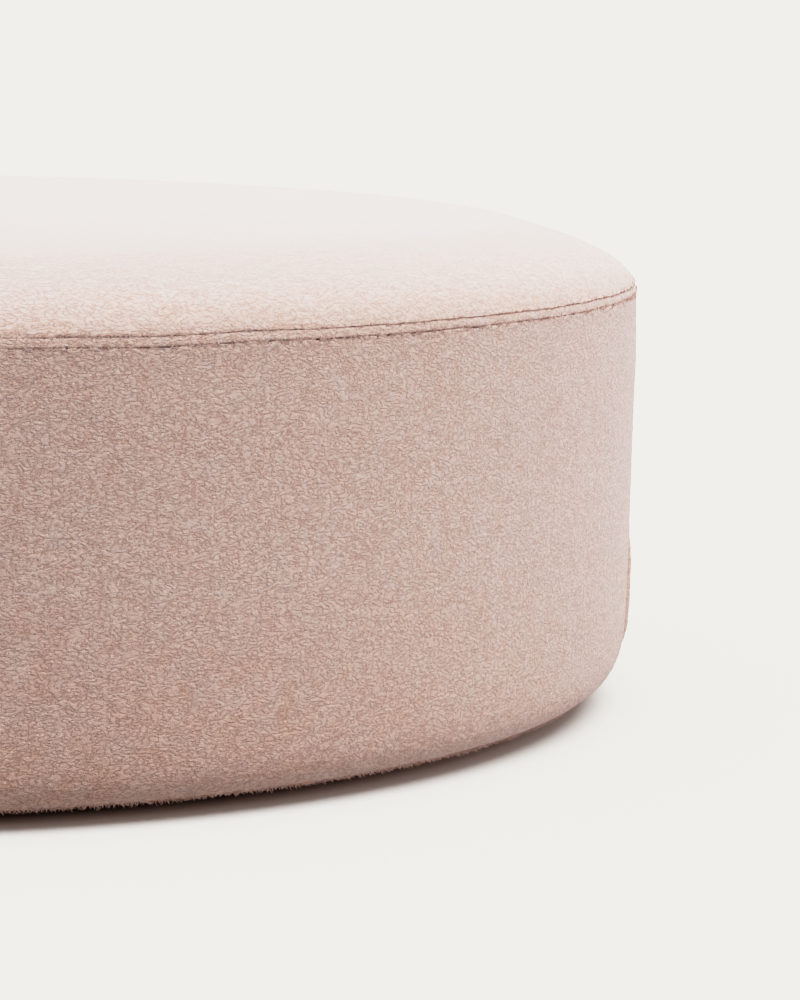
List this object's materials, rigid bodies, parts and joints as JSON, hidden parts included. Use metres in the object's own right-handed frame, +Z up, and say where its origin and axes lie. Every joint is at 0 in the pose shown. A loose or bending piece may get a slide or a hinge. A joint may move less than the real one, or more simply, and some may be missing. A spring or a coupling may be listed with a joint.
{
  "type": "round ottoman",
  "caption": "Wide round ottoman in pile cloth with a crowned top, a soft shoulder, a flat welt in the edge seam and a low recessed board.",
  "frame": {"origin": "on the floor, under the middle of the ottoman", "axes": "+Z up along the axis of the round body; the first vertical join of the side is 12 degrees from +X towards -Y"},
  "size_m": [1.2002, 1.2002, 0.415],
  "materials": {
    "pile_cloth": "short curly pile, dusty pink, matt",
    "board": "stained black, matt"
  },
  "bodies": {
    "root": {"base_board": "board", "flat_welt": "pile_cloth", "top_panel": "pile_cloth", "side_panel_1": "pile_cloth", "side_panel_2": "pile_cloth", "side_panel_3": "pile_cloth"}
  },
  "joints": []
}
